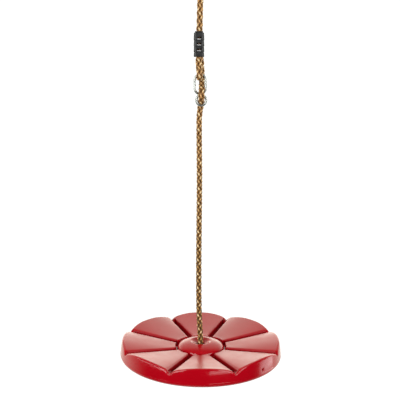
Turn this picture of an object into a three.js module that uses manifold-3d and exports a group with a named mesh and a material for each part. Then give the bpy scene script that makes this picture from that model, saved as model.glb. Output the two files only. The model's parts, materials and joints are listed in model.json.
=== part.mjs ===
// Disc swing: a round eight-petal seat hung at its middle on one braided rope, with a steel
// figure-eight link and a moulded clamp that set the rope's length, and a thimble, ring and
// snap hook at the top. Millimetres, +Z up. The origin is the hanging point, on the inside
// of the snap hook's top bow. +X is the swing's right, -Y its front.

import * as THREE from 'three';
import { mergeVertices } from 'three/addons/utils/BufferGeometryUtils.js';
import Module from 'manifold-3d';

const wasm = await Module();
wasm.setup();

const DEGREE = Math.PI / 180;
const GAP = 0.3;                          // clearance kept between touching pieces

// ---- driving dimensions -------------------------------------------------------------------
const SEAT_RADIUS = 147;                  // at the widest, half-way down the rim
const SEAT_DEPTH = 21.5;                  // from the petals' plane down to the underside
const SEAT_WALL = 3.5;
const PETALS = 8;
const PETAL_CROWN = 12;                   // how much the petals rise between hub and rim
const GROOVE_WIDTH = 5.4;
const GROOVE_DEPTH = 9;
const GROOVE_SHOULDER = 5;                // the petals fall away on each side of a groove
const HUB_RADIUS = 42;
const HUB_RISE = 6.1;
const DISH_RADIUS = 18.7;
const ROPE_HOLE_RADIUS = 6.8;
const RECESS_RADIUS = 27;                 // pocket under the hub for the washer and the knot
const RECESS_CEILING = -6;
const VENT_RADIUS = 1.5;
const VENT_ANGLE = -45 * DEGREE;
const VENT_HEIGHT = -6;
const SEAT_TURN = 1.35 * DEGREE;          // how the seat happens to hang: turned a little,
const SEAT_LEAN = 0.6 * DEGREE;           // and its right side a little low
const TILT_PIVOT = -5;                    // height of the point that the seat tips about

const ROPE_RADIUS = 5;
const BENT_ROPE_RADIUS = 4.2;             // where the rope is squeezed round the link's bars

const LINK_WIRE_RADIUS = 2.1;
const LINK_PLANE = -4;                    // Y of the link's plane, in front of the rope's axis
const OVAL_HALF_WIDTH = 9.3;              // the link's oval, to the middle of its wire
const OVAL_STRAIGHT = 14.1;
const OVAL_CENTRE = [-1.0, 468.7];        // x, and the height above the petals' plane
const RINGLET_HALF_WIDTH = 8.4;           // the smaller ring below the oval
const RINGLET_HALF_HEIGHT = 9;
const RINGLET_CENTRE = [0.85, 441.7];

const CLAMP_BOTTOM = 514.6;
const CLAMP_HEIGHT = 40;
const CLAMP_MIDDLE = -3;                  // X of the clamp's middle
const CLAMP_HALF_WIDTH = 9.1;
const CLAMP_DEPTH = 13;                   // of each half, from the split to its face
const CLAMP_CORNER = 4;
const LEG_DEPTH = 5.4;                    // from the split to the middle of the leg it grips
const WINDOW_WIDTH = 8;
const WINDOW_HEIGHT = 3.4;
const WINDOWS = [11.7, 21.3, 31];         // the windows' middles, up from the clamp's bottom
const BANDS = [8, 17.7, 27.3];            // the grooves' middles between its bands
const BAND_GROOVE_HEIGHT = 1;
const BAND_GROOVE_DEPTH = 0.9;

const THIMBLE_RADIUS = 15.4;              // inside of the crown
const THIMBLE_SHEET = 1.6;
const THIMBLE_LENGTH = 38;                // from the crown's centre down to where its sides would meet
const THIMBLE_TIP_RISE = 3;               // the sides stop short of that point
const THIMBLE_TIP_HALF_GAP = 1.6;
const THIMBLE_LIP = 4.5;                  // height of the channel's sides above the sheet
const CROWN_HEIGHT = 652;                 // height of the crown's centre above the petals' plane

const RING_RADIUS = 21.5;                 // to the middle of the wire
const RING_WIRE_RADIUS = 3.5;
const RING_PLAY = 1.7;                    // the thimble's flat inside rides on the ring's curve

const HOOK_WIRE_RADIUS = 4;
const HOOK_BOW_RADIUS = 13;               // to the middle of the wire
const HOOK_STRAIGHT = 46;                 // between the two bows' centres
const HOOK_SHOULDER_DROP = 5;             // the wire's lower end is this far below the gate's pin
const HOOK_NOSE_DROP = 3;                 // and its upper end this far below the high bow's centre
const GATE_RADIUS = 3.8;
const GATE_PIN_RADIUS = 1.5;
const GATE_PIN_RISE = 6;                  // the pin's height above the lower bow's centre
const TONGUE_HALF_THICKNESS = 1.6;        // the body's flattened ends, which the gate's forks clasp
const TONGUE_WIDTH = 6.4;
const GATE_HEEL = 3.1;                    // the gate's length below its pin
const GATE_FORK = 5;                      // the slot's length above the pin
const LATCH_FORK = 5.6;                   // and that of the slot at the gate's upper end
const LATCH_TONGUE = 5;                   // how far the nose's tongue reaches down

const WASHER_RADIUS = 20;
const WASHER_THICKNESS = 2.5;
const KNOT_RADIUS = 15;
const KNOT_HEIGHT = 26;
const TAIL_LENGTH = 24;

// ---- heights that follow from them, above the petals' plane --------------------------------
const RING_BOTTOM = CROWN_HEIGHT + THIMBLE_RADIUS - RING_WIRE_RADIUS - RING_PLAY;
const RING_CENTRE = RING_BOTTOM + RING_RADIUS;
const HOOK_BOTTOM = RING_CENTRE + RING_RADIUS - RING_WIRE_RADIUS - HOOK_WIRE_RADIUS - GAP;
const HOOK_LOW_BOW = HOOK_BOTTOM + HOOK_BOW_RADIUS;
const HOOK_HIGH_BOW = HOOK_LOW_BOW + HOOK_STRAIGHT;
const GATE_PIN_HEIGHT = HOOK_LOW_BOW + GATE_PIN_RISE;
const HANG_HEIGHT = HOOK_HIGH_BOW + HOOK_BOW_RADIUS - HOOK_WIRE_RADIUS;
const TOP_BEND_RADIUS = THIMBLE_RADIUS + THIMBLE_SHEET + GAP + ROPE_RADIUS;
const WASHER_TOP = RECESS_CEILING - GAP;
const KNOT_TOP = WASHER_TOP - WASHER_THICKNESS - GAP;

// ---- the rope's route: x to the right, y back from the link's plane, z above the petals -----
const CLAMP_TOP = CLAMP_BOTTOM + CLAMP_HEIGHT;
const EYE_ROUTE = [
  [-2.6, -5.4, CLAMP_TOP - GAP], [-3.0, -5.4, 534.6], [-3.4, -5.6, 514.6], [-3.6, -6.2, 501],
  [-2.4, -6.6, 490.8], [-2.0, -6.6, 485.0], [-2.0, -5.7, 481.7], [-2.0, -3.3, 479.3],
  [-2.0, 0, 478.3], [-2.0, 3.3, 479.3], [-2.0, 5.7, 481.7], [-2.0, 6.6, 485.0],
  [-2.4, 6.6, 490.8], [-3.6, 6.2, 501], [-3.4, 5.6, 514.6], [-3.2, 5.4, 534.6], [-3.0, 5.4, 549.6],
];
const WEAVE_ROUTE = [
  [-1.6, 18.3, CLAMP_TOP - GAP], [-1.0, 18.3, 534.6], [0.2, 18.2, 514.6], [1.2, 17.0, 500],
  [2.0, 15.4, 486], [2.0, 13.6, 476], [1.9, 9.6, 468.6], [1.8, 3.6, 463.6],
  [1.6, -2.6, 460], [1.4, -6.6, 455.2], [1.2, -6.7, 449.4], [1.0, -3.3, 444.7],
  [0.9, 0, 441.7], [0.7, 3.3, 438.5], [0.2, 6.7, 433.4], [-0.8, 6.2, 427.6],
  [-1.9, 4.6, 419.5], [-2.6, 3.3, 410], [-2.7, 3.2, 402],
];
const LOWER_ROUTE = [
  [-2.7, 3.2, 401.4], [-2.7, 3.2, 384], [-2.2, 3.4, 300], [-2.9, 3.6, 220],
  [-3.5, 3.8, 150], [-2.9, 3.9, 60], [-1.0, 4, 20], [-0.3, 4, 0], [-0.3, 4, KNOT_TOP + GAP],
];

// ---- finishes --------------------------------------------------------------------------------
function finish(color, roughness, metalness) {
  return new THREE.MeshStandardMaterial({ color, roughness, metalness });
}
const redPlastic = () => finish(0xc4000c, 0.25, 0);
const blackPlastic = () => finish(0x2b2c2a, 0.55, 0);
const braidedRope = () => finish(0x9e7950, 0.85, 0);
const zincSteel = () => finish(0xb9bcbe, 0.35, 1);

// ---- solids: joining and cutting ---------------------------------------------------------------
function toSolid(geometry) {
  const bare = geometry.clone();
  bare.deleteAttribute('normal');
  bare.deleteAttribute('uv');
  const welded = mergeVertices(bare, 1e-4);
  return new wasm.Manifold(new wasm.Mesh({
    numProp: 3,
    vertProperties: new Float32Array(welded.attributes.position.array),
    triVerts: new Uint32Array(welded.index.array),
  }));
}

function toGeometry(solid) {
  const mesh = solid.getMesh();
  const geometry = new THREE.BufferGeometry();
  geometry.setAttribute('position', new THREE.BufferAttribute(mesh.vertProperties, 3));
  geometry.setIndex(new THREE.BufferAttribute(mesh.triVerts, 1));
  geometry.computeVertexNormals();
  return geometry;
}

// A lathe turned about Z: the profile is a list of [radius, height], anticlockwise, closed on
// itself or from axis to axis.
function turned(profile, segments) {
  const points = profile.map(([radius, height]) => new THREE.Vector2(radius, height));
  const geometry = new THREE.LatheGeometry(points, segments);
  geometry.rotateX(Math.PI / 2);
  return geometry;
}

function rod(radius, length, sides, centre, axis) {
  const geometry = new THREE.CylinderGeometry(radius, radius, length, sides);
  const turn = new THREE.Quaternion().setFromUnitVectors(
    new THREE.Vector3(0, 1, 0), new THREE.Vector3(...axis).normalize());
  geometry.applyQuaternion(turn);
  geometry.translate(...centre);
  return geometry;
}

function roundSection(radius, sides) {
  const points = [];
  for (let k = 0; k < sides; k++) {
    const angle = 2 * Math.PI * (k + 0.5) / sides;
    points.push(new THREE.Vector2(radius * Math.cos(angle), radius * Math.sin(angle)));
  }
  return new THREE.Shape(points);
}

function tube(curve, radius, sides, steps) {
  return new THREE.ExtrudeGeometry(roundSection(radius, sides), { extrudePath: curve, steps });
}

function routeCurve(route, back) {
  return new THREE.CatmullRomCurve3(route.map(([x, y, z]) => new THREE.Vector3(x, y + back, z)));
}

function arcPoints(centre, radius, from, to, count) {
  const points = [];
  for (let k = 0; k <= count; k++) {
    const angle = from + (to - from) * k / count;
    const y = centre[0] + radius * Math.cos(angle);
    points.push(new THREE.Vector3(0, y, centre[1] + radius * Math.sin(angle)));
  }
  return points;
}

// A closed wire loop in the XZ plane: a torus stretched to the given half height, whose upper
// and lower halves are then pushed apart.
function wireLoop(halfWidth, halfHeight, wire, straight) {
  const segments = 24;
  const geometry = new THREE.TorusGeometry(halfWidth, wire, 8, segments);
  geometry.rotateZ(Math.PI / segments);
  const place = geometry.attributes.position;
  for (let k = 0; k < place.count; k++) {
    const up = place.getY(k) * halfHeight / halfWidth;
    const back = place.getZ(k);
    place.setXYZ(k, place.getX(k), -back, up + Math.sign(up) * straight / 2);
  }
  return geometry;
}

// ---- seat ------------------------------------------------------------------------------------
// A bar that cuts one groove between two petals: straight below, and splayed above the petals'
// plane, where the petals fall away on each side. The wall widens it for the hollow inside.
function grooveBar(angle, wall) {
  const start = HUB_RADIUS + 2;
  const top = PETAL_CROWN + 6;
  const half = GROOVE_WIDTH / 2 + wall;
  const splay = half + GROOVE_SHOULDER;
  const floor = -GROOVE_DEPTH - wall;
  const chamfer = 1.5;
  const section = new THREE.Shape([
    new THREE.Vector2(-splay, top), new THREE.Vector2(-splay + 1, PETAL_CROWN * 0.7),
    new THREE.Vector2(-half, 2), new THREE.Vector2(-half, floor + chamfer),
    new THREE.Vector2(-half / 2, floor), new THREE.Vector2(half / 2, floor),
    new THREE.Vector2(half, floor + chamfer), new THREE.Vector2(half, 2),
    new THREE.Vector2(splay - 1, PETAL_CROWN * 0.7), new THREE.Vector2(splay, top),
  ]);
  const bar = new THREE.ExtrudeGeometry(section, { depth: SEAT_RADIUS + 10 - start, bevelEnabled: false });
  bar.rotateX(Math.PI / 2);
  bar.translate(0, -start, 0);
  bar.rotateZ(angle + Math.PI / 2);
  return toSolid(bar);
}

function seatShell() {
  const petalStart = HUB_RADIUS + 5.5;
  const ringFloor = -10;
  const base = -SEAT_DEPTH;
  const outline = [
    [ROPE_HOLE_RADIUS, RECESS_CEILING], [RECESS_RADIUS, RECESS_CEILING], [RECESS_RADIUS, base],
    [SEAT_RADIUS - 11, base], [SEAT_RADIUS - 3.3, base + 2.1], [SEAT_RADIUS, base + 7],
    [SEAT_RADIUS, -12.5], [SEAT_RADIUS - 1.6, -3], [SEAT_RADIUS - 3.6, PETAL_CROWN - 4],
    [SEAT_RADIUS - 4.6, PETAL_CROWN - 1.4], [SEAT_RADIUS - 6.8, PETAL_CROWN],
    [105, PETAL_CROWN * 0.58], [75, PETAL_CROWN * 0.22], [petalStart, -1.8],
    [petalStart - 1.2, -4], [petalStart - 2.2, ringFloor], [HUB_RADIUS + 0.6, ringFloor],
    [HUB_RADIUS, -5.5], [HUB_RADIUS - 1, -3.2], [38, -0.1], [30, 3.8],
    [DISH_RADIUS + 1.8, HUB_RISE - 0.1], [DISH_RADIUS, HUB_RISE],
    [DISH_RADIUS - 1.4, HUB_RISE - 0.5], [14, 3.6], [9, 1.1], [ROPE_HOLE_RADIUS, -0.6],
    [ROPE_HOLE_RADIUS, RECESS_CEILING],
  ];
  const inner = RECESS_RADIUS + SEAT_WALL;
  const floor = base + SEAT_WALL;
  const outer = SEAT_RADIUS - SEAT_WALL;
  const lowCeiling = -GROOVE_DEPTH - SEAT_WALL;
  const cavity = [
    [inner, floor], [outer - 8, floor], [outer - 2, floor + 2], [outer - 0.5, -12],
    [outer - 2, -3], [outer - 4.6, PETAL_CROWN - 6], [outer - 8, PETAL_CROWN - SEAT_WALL - 0.5],
    [105, PETAL_CROWN * 0.58 - SEAT_WALL - 0.5], [75, PETAL_CROWN * 0.22 - SEAT_WALL - 0.5],
    [petalStart + 6, -6], [petalStart + 6, lowCeiling], [inner, lowCeiling], [inner, floor],
  ];
  const around = 48;
  let shell = toSolid(turned(outline, around));
  let hollow = toSolid(turned(cavity, around));
  for (let k = 0; k < PETALS; k++) {
    const angle = (k + 0.5) * 2 * Math.PI / PETALS;
    shell = shell.subtract(grooveBar(angle, 0));
    hollow = hollow.subtract(grooveBar(angle, SEAT_WALL));
  }
  const ventMiddle = SEAT_RADIUS - 8;
  const outward = [Math.cos(VENT_ANGLE), Math.sin(VENT_ANGLE), 0];
  const ventCentre = [ventMiddle * outward[0], ventMiddle * outward[1], VENT_HEIGHT];
  const vent = rod(VENT_RADIUS, 26, 8, ventCentre, outward);
  return toGeometry(shell.subtract(hollow).subtract(toSolid(vent)));
}

function knotWasher() {
  const bottom = WASHER_TOP - WASHER_THICKNESS;
  return turned([
    [ROPE_HOLE_RADIUS, bottom], [WASHER_RADIUS, bottom],
    [WASHER_RADIUS, WASHER_TOP], [ROPE_HOLE_RADIUS, WASHER_TOP], [ROPE_HOLE_RADIUS, bottom],
  ], 24);
}

// ---- rope --------------------------------------------------------------------------------------
function ropeKnot() {
  const middle = KNOT_TOP - KNOT_HEIGHT / 2;
  const bands = 8;
  const profile = [];
  for (let k = 0; k <= bands; k++) {
    const angle = -Math.PI / 2 + Math.PI * k / bands;
    const radius = k % bands === 0 ? 0 : KNOT_RADIUS * Math.cos(angle);
    profile.push([radius, middle + KNOT_HEIGHT / 2 * Math.sin(angle)]);
  }
  return turned(profile, 16);
}

function ropeTail() {
  const top = KNOT_TOP - KNOT_HEIGHT - GAP;
  return rod(ROPE_RADIUS, TAIL_LENGTH, 10, [0, 0, top - TAIL_LENGTH / 2], [0, 0, 1]);
}

function ropeTopBend() {
  const steps = 12;
  const crown = arcPoints([0, CROWN_HEIGHT], TOP_BEND_RADIUS, Math.PI, 0, steps);
  return tube(new THREE.CatmullRomCurve3(crown), ROPE_RADIUS, 10, steps);
}

// A stretch from the clamp's top up to one side of the top bend.
function ropeRun(route, side) {
  const [x, y] = route[0];
  const head = new THREE.Vector3(0, side * TOP_BEND_RADIUS, CROWN_HEIGHT - 2 * GAP);
  const knee = new THREE.Vector3(0, side * TOP_BEND_RADIUS, CROWN_HEIGHT - 8);
  const foot = new THREE.Vector3(x, y + LINK_PLANE, CLAMP_TOP + 2 * GAP);
  return tube(new THREE.CatmullRomCurve3([foot, knee, head]), ROPE_RADIUS, 10, 5);
}

// ---- adjuster ------------------------------------------------------------------------------------
// The figure-eight link: a long oval above and a smaller ring below, welded at the waist.
function adjusterLink() {
  const oval = wireLoop(OVAL_HALF_WIDTH, OVAL_HALF_WIDTH, LINK_WIRE_RADIUS, OVAL_STRAIGHT);
  oval.translate(OVAL_CENTRE[0], LINK_PLANE, OVAL_CENTRE[1]);
  const ringlet = wireLoop(RINGLET_HALF_WIDTH, RINGLET_HALF_HEIGHT, LINK_WIRE_RADIUS, 0);
  ringlet.translate(RINGLET_CENTRE[0], LINK_PLANE, RINGLET_CENTRE[1]);
  return toGeometry(toSolid(oval).add(toSolid(ringlet)));
}

// A slab of half a clamp's section, drawn in from its faces by the inset.
function clampSlab(inset, height) {
  const reach = CLAMP_HALF_WIDTH - inset;
  const corner = CLAMP_CORNER - inset;
  const cornerX = CLAMP_HALF_WIDTH - CLAMP_CORNER;
  const cornerY = CLAMP_DEPTH - CLAMP_CORNER;
  const section = new THREE.Shape();
  section.moveTo(-reach, GAP / 2);
  section.lineTo(reach, GAP / 2);
  section.lineTo(reach, cornerY);
  section.absarc(cornerX, cornerY, corner, 0, Math.PI / 2, false);
  section.absarc(-cornerX, cornerY, corner, Math.PI / 2, Math.PI, false);
  return new THREE.ExtrudeGeometry(section, { depth: height, bevelEnabled: false, curveSegments: 4 });
}

// One half of the clamp: a rounded block in four bands, with windows over a channel for one leg
// of the eye.
function clampHalf(side) {
  const channelRadius = ROPE_RADIUS + GAP;
  const through = CLAMP_HEIGHT + 4;
  const channel = rod(channelRadius, through, 16, [0, LEG_DEPTH, CLAMP_HEIGHT / 2], [0, 0, 1]);
  const mouth = new THREE.BoxGeometry(2 * channelRadius, 2 * LEG_DEPTH, through);
  mouth.translate(0, 0, CLAMP_HEIGHT / 2);
  let half = toSolid(clampSlab(0, CLAMP_HEIGHT)).subtract(toSolid(channel)).subtract(toSolid(mouth));
  for (const up of BANDS) {
    const wide = 4 * CLAMP_HALF_WIDTH;
    const around = new THREE.BoxGeometry(wide, wide, BAND_GROOVE_HEIGHT);
    const core = clampSlab(BAND_GROOVE_DEPTH, 2 * BAND_GROOVE_HEIGHT);
    core.translate(0, 0, -BAND_GROOVE_HEIGHT);
    const behind = new THREE.BoxGeometry(2 * channelRadius, wide, 2 * BAND_GROOVE_HEIGHT);
    behind.translate(0, LEG_DEPTH - wide / 2, 0);
    const ring = toSolid(around).subtract(toSolid(core)).subtract(toSolid(behind));
    half = half.subtract(ring.translate([0, 0, up]));
  }
  for (const up of WINDOWS) {
    const window = new THREE.BoxGeometry(WINDOW_WIDTH, 2 * LEG_DEPTH, WINDOW_HEIGHT);
    window.translate(0, CLAMP_DEPTH + 1, up);
    half = half.subtract(toSolid(window));
  }
  const geometry = toGeometry(half);
  if (side < 0) geometry.rotateZ(Math.PI);
  geometry.translate(CLAMP_MIDDLE, LINK_PLANE, CLAMP_BOTTOM);
  return geometry;
}

// ---- top fittings ----------------------------------------------------------------------------
// A teardrop of channel section that the rope's top bend lies in.
function thimble() {
  const middle = THIMBLE_RADIUS + THIMBLE_SHEET / 2;
  const lean = Math.asin(middle / THIMBLE_LENGTH);
  const tipHeight = CROWN_HEIGHT - THIMBLE_LENGTH + THIMBLE_TIP_RISE;
  const crown = arcPoints([0, CROWN_HEIGHT], middle, Math.PI + lean, -lean, 16);
  const path = new THREE.CurvePath();
  path.add(new THREE.LineCurve3(new THREE.Vector3(0, -THIMBLE_TIP_HALF_GAP, tipHeight), crown[0]));
  path.add(new THREE.CatmullRomCurve3(crown));
  const farTip = new THREE.Vector3(0, THIMBLE_TIP_HALF_GAP, tipHeight);
  path.add(new THREE.LineCurve3(crown[crown.length - 1], farTip));
  const half = THIMBLE_SHEET / 2;
  const inside = ROPE_RADIUS + GAP;
  const outside = inside + THIMBLE_SHEET;
  const lip = half + THIMBLE_LIP;
  const section = new THREE.Shape([
    [-outside, -half], [outside, -half], [outside, lip], [inside, lip],
    [inside, half], [-inside, half], [-inside, lip], [-outside, lip],
  ].map(([across, out]) => new THREE.Vector2(across, out)));
  return new THREE.ExtrudeGeometry(section, { extrudePath: path, steps: 28 });
}

function hangingRing() {
  const geometry = wireLoop(RING_RADIUS, RING_RADIUS, RING_WIRE_RADIUS, 0);
  geometry.translate(0, 0, RING_CENTRE);
  return geometry;
}

// The snap hook's bent wire, open on its back side, with a flat tongue at each end.
function snapHookBody() {
  const shoulder = GATE_PIN_HEIGHT - HOOK_SHOULDER_DROP;
  const nose = HOOK_HIGH_BOW - HOOK_NOSE_DROP;
  const lowArc = arcPoints([0, HOOK_LOW_BOW], HOOK_BOW_RADIUS, 0, -Math.PI, 14);
  const highArc = arcPoints([0, HOOK_HIGH_BOW], HOOK_BOW_RADIUS, Math.PI, 0, 14);
  const path = new THREE.CurvePath();
  path.add(new THREE.LineCurve3(new THREE.Vector3(0, HOOK_BOW_RADIUS, shoulder), lowArc[0]));
  path.add(new THREE.CatmullRomCurve3(lowArc));
  path.add(new THREE.LineCurve3(lowArc[14], highArc[0]));
  path.add(new THREE.CatmullRomCurve3(highArc));
  path.add(new THREE.LineCurve3(highArc[14], new THREE.Vector3(0, HOOK_BOW_RADIUS, nose)));
  const wire = toSolid(tube(path, HOOK_WIRE_RADIUS, 8, 36));

  const tongue = (from, to) => {
    const plate = new THREE.BoxGeometry(2 * TONGUE_HALF_THICKNESS, TONGUE_WIDTH, to - from);
    plate.translate(0, HOOK_BOW_RADIUS, (from + to) / 2);
    return toSolid(plate);
  };
  const hole = rod(GATE_PIN_RADIUS + GAP, 12, 8, [0, HOOK_BOW_RADIUS, GATE_PIN_HEIGHT], [1, 0, 0]);
  const rooted = 2;
  const solid = wire
    .add(tongue(shoulder - rooted, GATE_PIN_HEIGHT + TONGUE_WIDTH / 2))
    .add(tongue(nose - LATCH_TONGUE, nose + rooted));
  return toGeometry(solid.subtract(toSolid(hole)));
}

function snapHookGate() {
  const bottom = GATE_PIN_HEIGHT - GATE_HEEL;
  const top = HOOK_HIGH_BOW - HOOK_NOSE_DROP - GAP;
  const bar = rod(GATE_RADIUS, top - bottom, 12, [0, HOOK_BOW_RADIUS, (top + bottom) / 2], [0, 0, 1]);
  const slot = (from, to) => {
    const cut = new THREE.BoxGeometry(2 * (TONGUE_HALF_THICKNESS + GAP), 20, to - from);
    cut.translate(0, HOOK_BOW_RADIUS, (from + to) / 2);
    return toSolid(cut);
  };
  const hole = rod(GATE_PIN_RADIUS + GAP, 12, 8, [0, HOOK_BOW_RADIUS, GATE_PIN_HEIGHT], [1, 0, 0]);
  const solid = toSolid(bar)
    .subtract(slot(bottom - 2, GATE_PIN_HEIGHT + GATE_FORK))
    .subtract(slot(top - LATCH_FORK, top + 2))
    .subtract(toSolid(hole));
  return toGeometry(solid);
}

function gatePin() {
  return rod(GATE_PIN_RADIUS, 2 * GATE_RADIUS, 8, [0, HOOK_BOW_RADIUS, GATE_PIN_HEIGHT], [1, 0, 0]);
}

// ---- the swing ---------------------------------------------------------------------------------
function piece(name, geometry, material) {
  const mesh = new THREE.Mesh(geometry, material);
  mesh.name = name;
  return mesh;
}

const swing = new THREE.Group();
swing.position.z = -HANG_HEIGHT;

swing.add(
  piece('snap_hook_body', snapHookBody(), zincSteel()),
  piece('snap_hook_gate', snapHookGate(), zincSteel()),
  piece('gate_pin', gatePin(), zincSteel()),
  piece('hanging_ring', hangingRing(), zincSteel()),
  piece('thimble', thimble(), zincSteel()),
  piece('rope_top_bend', ropeTopBend(), braidedRope()),
  piece('rope_return_run', ropeRun(EYE_ROUTE, -1), braidedRope()),
  piece('rope_main_run', ropeRun(WEAVE_ROUTE, 1), braidedRope()),
  piece('clamp_front', clampHalf(-1), blackPlastic()),
  piece('clamp_back', clampHalf(1), blackPlastic()),
  piece('adjuster_link', adjusterLink(), zincSteel()),
  piece('rope_eye', tube(routeCurve(EYE_ROUTE, LINK_PLANE), BENT_ROPE_RADIUS, 10, 24), braidedRope()),
  piece('rope_weave', tube(routeCurve(WEAVE_ROUTE, LINK_PLANE), BENT_ROPE_RADIUS, 10, 34), braidedRope()),
  piece('rope_lower_run', tube(routeCurve(LOWER_ROUTE, LINK_PLANE), ROPE_RADIUS, 10, 16), braidedRope()),
  piece('rope_knot', ropeKnot(), braidedRope()),
  piece('rope_tail', ropeTail(), braidedRope()),
);

// The seat and its washer share a slight lean about the point that the seat tips on.
const seat = new THREE.Group();
seat.position.z = TILT_PIVOT;
seat.rotation.y = SEAT_LEAN;
const shell = piece('seat_shell', seatShell(), redPlastic());
shell.position.z = -TILT_PIVOT;
shell.rotation.z = SEAT_TURN;
const washer = piece('knot_washer', knotWasher(), zincSteel());
washer.position.z = -TILT_PIVOT;
seat.add(shell, washer);
swing.add(seat);

export default swing;
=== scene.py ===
import json
import math
import random

import bpy
import numpy as np
from mathutils import Matrix, Vector


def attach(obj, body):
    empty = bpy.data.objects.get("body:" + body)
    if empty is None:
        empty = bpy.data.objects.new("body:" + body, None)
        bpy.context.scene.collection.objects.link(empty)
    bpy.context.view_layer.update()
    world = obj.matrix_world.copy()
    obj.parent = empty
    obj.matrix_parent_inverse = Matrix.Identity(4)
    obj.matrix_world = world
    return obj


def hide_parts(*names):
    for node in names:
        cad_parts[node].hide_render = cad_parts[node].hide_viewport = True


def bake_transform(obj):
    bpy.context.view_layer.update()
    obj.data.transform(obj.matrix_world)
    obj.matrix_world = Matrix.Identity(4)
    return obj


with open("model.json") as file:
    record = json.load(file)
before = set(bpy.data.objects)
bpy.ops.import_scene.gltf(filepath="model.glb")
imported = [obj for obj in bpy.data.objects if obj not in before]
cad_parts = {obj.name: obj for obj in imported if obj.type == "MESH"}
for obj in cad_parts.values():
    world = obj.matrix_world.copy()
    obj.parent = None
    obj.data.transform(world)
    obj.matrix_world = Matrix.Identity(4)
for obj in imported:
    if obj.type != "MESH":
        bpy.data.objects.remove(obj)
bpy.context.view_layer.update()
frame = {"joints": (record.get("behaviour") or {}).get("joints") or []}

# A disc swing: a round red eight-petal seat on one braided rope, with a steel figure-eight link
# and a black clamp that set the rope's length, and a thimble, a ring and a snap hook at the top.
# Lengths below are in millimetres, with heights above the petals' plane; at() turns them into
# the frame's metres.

chance = random.Random(7)

JOINTS = {joint["name"]: joint for joint in frame["joints"]}
TILT_PIVOT = -5.0  # height of the axis that the seat tilts about
PETALS_PLANE = JOINTS["seat_tilt"]["pos_m"][2] - TILT_PIVOT / 1000


def at(x, y, z):
    """Millimetres above the petals' plane, as a point of the frame in metres."""
    return Vector((x / 1000, y / 1000, z / 1000 + PETALS_PLANE))


# ---- camera ----
CAMERA_DISTANCE = 1244
CAMERA_HEIGHT = 486
CAMERA_SIDE = -1.3
CAMERA_PITCH = math.radians(9.985)
CAMERA_LENS = 64.4


def make_camera():
    data = bpy.data.cameras.new("camera")
    data.lens = CAMERA_LENS
    camera = bpy.data.objects.new("camera", data)
    camera.location = at(CAMERA_SIDE, -CAMERA_DISTANCE, CAMERA_HEIGHT)
    camera.rotation_euler = (math.pi / 2 - CAMERA_PITCH, 0, 0)
    bpy.context.scene.collection.objects.link(camera)
    bpy.context.scene.camera = camera


make_camera()


# ---- mesh helpers ----
def mesh_object(name, points, faces, material, uvs=None, **attributes):
    """A smooth-shaded mesh; uvs and any named attributes hold one value for each point."""
    mesh = bpy.data.meshes.new(name)
    mesh.from_pydata([tuple(p) for p in points], [], faces)
    mesh.polygons.foreach_set("use_smooth", [True] * len(mesh.polygons))
    if uvs is not None:
        layer = mesh.uv_layers.new(name="UVMap")
        corner = np.zeros(len(mesh.loops), dtype=np.int32)
        mesh.loops.foreach_get("vertex_index", corner)
        layer.data.foreach_set("uv", np.asarray(uvs, dtype=np.float32)[corner].ravel())
    for key, values in attributes.items():
        layer = mesh.attributes.new(key, "FLOAT", "POINT")
        layer.data.foreach_set("value", np.asarray(values, dtype=np.float32))
    mesh.materials.append(material)
    mesh.validate()
    piece = bpy.data.objects.new(name, mesh)
    bpy.context.scene.collection.objects.link(piece)
    return piece


def grid_faces(rows, columns, first=0, along=False):
    """Quads over rows of points, each row closed on itself; along closes the last on the first."""
    faces = []
    for i in range(rows if along else rows - 1):
        for j in range(columns):
            a = first + i * columns + j
            b = first + i * columns + (j + 1) % columns
            c = first + ((i + 1) % rows) * columns + (j + 1) % columns
            d = first + ((i + 1) % rows) * columns + j
            faces.append((a, b, c, d))
    return faces


def tube_faces(rows, columns, first=0):
    """The same quads, with a cap at each end."""
    last = first + (rows - 1) * columns
    caps = [tuple(first + j for j in reversed(range(columns))),
            tuple(last + j for j in range(columns))]
    return grid_faces(rows, columns, first) + caps


def angles_round(count):
    return np.arange(count) * 2 * math.pi / count


def quarter(steps):
    """The two insets of a rounded edge, 0 to 1 and 1 to 0, at even steps of a quarter turn."""
    turn = np.linspace(0, math.pi / 2, steps + 1)
    return list(zip(1 - np.cos(turn), 1 - np.sin(turn)))


def smooth(low, high, value):
    """0 below low, 1 above high, and an even ease between them; low may be the larger."""
    t = np.clip((np.asarray(value, dtype=float) - low) / (high - low), 0, 1)
    return t * t * (3 - 2 * t)


def between(first, last, low, high, t):
    """The point on the way from first, at low, to last, at high."""
    return ((high - t) * first + (t - low) * last) / (high - low)


def spline(points, spacing):
    """A centripetal Catmull-Rom curve through the points, sampled about every spacing."""
    p = [np.asarray(q, dtype=float) for q in points]
    p = [2 * p[0] - p[1]] + p + [2 * p[-1] - p[-2]]
    out = []
    for k in range(1, len(p) - 2):
        near = p[k - 1:k + 3]
        knot = [0.0]
        for a, b in zip(near, near[1:]):
            knot.append(knot[-1] + math.sqrt(np.linalg.norm(b - a)))
        steps = max(1, int(round(np.linalg.norm(near[2] - near[1]) / spacing)))
        for j in range(steps):
            t = knot[1] + (knot[2] - knot[1]) * j / steps
            a = [between(near[i], near[i + 1], knot[i], knot[i + 1], t) for i in range(3)]
            b = [between(a[i], a[i + 1], knot[i], knot[i + 2], t) for i in range(2)]
            out.append(between(*b, knot[1], knot[2], t))
    out.append(p[-2])
    return np.array(out)


def lengths_along(points):
    steps = np.linalg.norm(np.diff(points, axis=0), axis=1)
    return np.concatenate([[0], np.cumsum(steps)])


def resample(points, spacing):
    """The same line with its points an even distance apart."""
    run = lengths_along(points)
    count = max(2, int(round(run[-1] / spacing)) + 1)
    even = np.linspace(0, run[-1], count)
    return np.stack([np.interp(even, run, points[:, k]) for k in range(3)], axis=1)


def unit(v):
    return v / np.maximum(np.linalg.norm(v, axis=-1, keepdims=True), 1e-12)


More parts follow.
